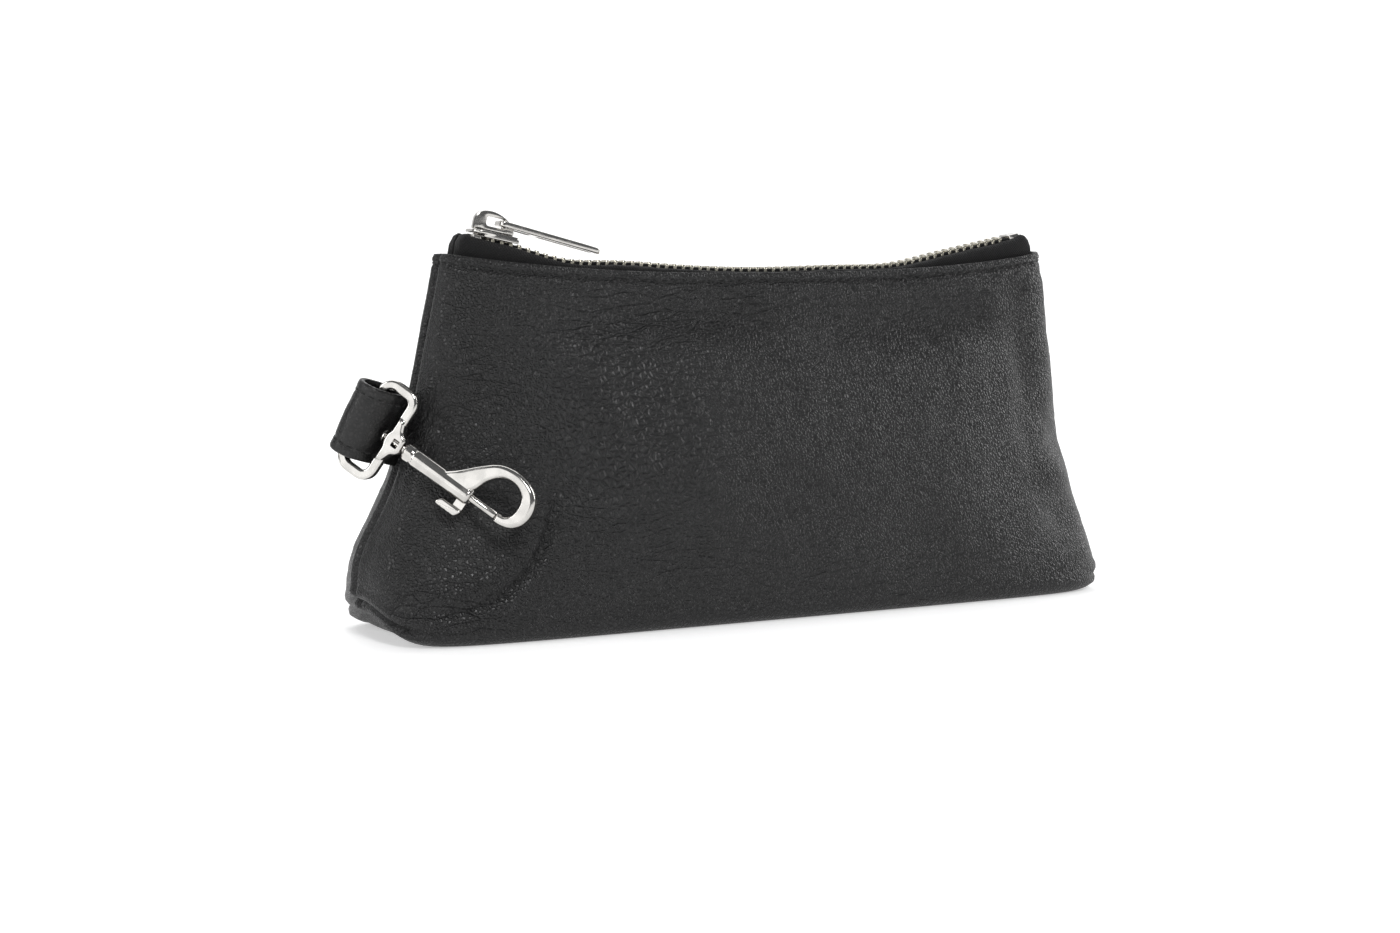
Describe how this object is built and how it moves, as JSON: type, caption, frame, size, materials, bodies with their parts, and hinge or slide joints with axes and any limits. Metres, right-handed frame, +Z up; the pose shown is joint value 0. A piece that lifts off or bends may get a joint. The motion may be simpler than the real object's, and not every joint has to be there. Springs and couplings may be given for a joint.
{
  "type": "makeup bag",
  "caption": "Small black leather zip pouch with a boxed bottom, a curved metal zip, and a swivel snap hook on a side strap loop.",
  "frame": {"origin": "middle of the base, on the surface the bag stands on", "axes": "+X along the bag, away from the strap loop; -Y towards the front panel; +Z up"},
  "size_m": [0.2377, 0.0677, 0.1136],
  "materials": {
    "leather": "black pebbled soft leather, low sheen",
    "lining": "plain black woven lining",
    "tape": "black herringbone zip tape",
    "teeth": "polished teeth with a faint warm tint",
    "nickel": "bright nickel plate on cast metal",
    "strap_leather": "black leather strap, stitched along both edges",
    "spring_steel": "plain spring wire"
  },
  "bodies": {
    "bag": {"front_panel": "leather", "back_panel": "leather", "front_lining": "lining", "back_lining": "lining", "front_tape": "tape", "back_tape": "tape", "front_teeth": "teeth", "back_teeth": "teeth", "front_top_stop": "nickel", "back_top_stop": "nickel", "bottom_stop": "nickel"},
    "slider": {"slider_body": "nickel", "slider_bridge": "nickel"},
    "pull": {"pull_tab": "nickel"},
    "strap": {"strap_loop": "strap_leather"},
    "ring": {"swivel_ring": "nickel"},
    "hook": {"swivel_rivet": "nickel", "hook_body": "nickel", "gate_spring": "spring_steel"},
    "gate": {"gate_bolt": "nickel"}
  },
  "joints": [
    {"name": "zip_travel", "type": "hinge", "parent": "bag", "child": "slider", "pos_m": [0.0049, 0, 0.51076], "axis": [0, -1, 0], "range_deg": [0, 22.4], "deforming": ["front_teeth", "back_teeth"]},
    {"name": "pull_flip", "type": "hinge", "parent": "slider", "child": "pull", "pos_m": [-0.07542, 0, 0.10997], "axis": [0, -1, 0], "range_deg": [0, 165]},
    {"name": "strap_flex", "type": "hinge", "parent": "bag", "child": "strap", "pos_m": [-0.10527, -0.00055, 0.05559], "axis": [0.3366, -0.282, 0.8984], "range_deg": [-35, 0], "stiffness_Nm_per_rad": 0.05},
    {"name": "ring_swing", "type": "hinge", "parent": "strap", "child": "ring", "pos_m": [-0.11587, -0.0034, 0.05867], "axis": [-0.4681, 0.2971, -0.8323], "range_deg": [0, 140]},
    {"name": "hook_swivel", "type": "hinge", "parent": "ring", "child": "hook", "pos_m": [-0.11587, -0.0034, 0.05867], "axis": [0.5739, -0.6139, -0.5419], "range_deg": [-6, 180]},
    {"name": "gate_slide", "type": "slide", "parent": "hook", "child": "gate", "axis": [-0.5739, 0.6139, 0.5419], "range_m": [0, 0.0065], "stiffness_N_per_m": 250, "springref_m": -0.004, "deforming": ["gate_spring"]}
  ]
}
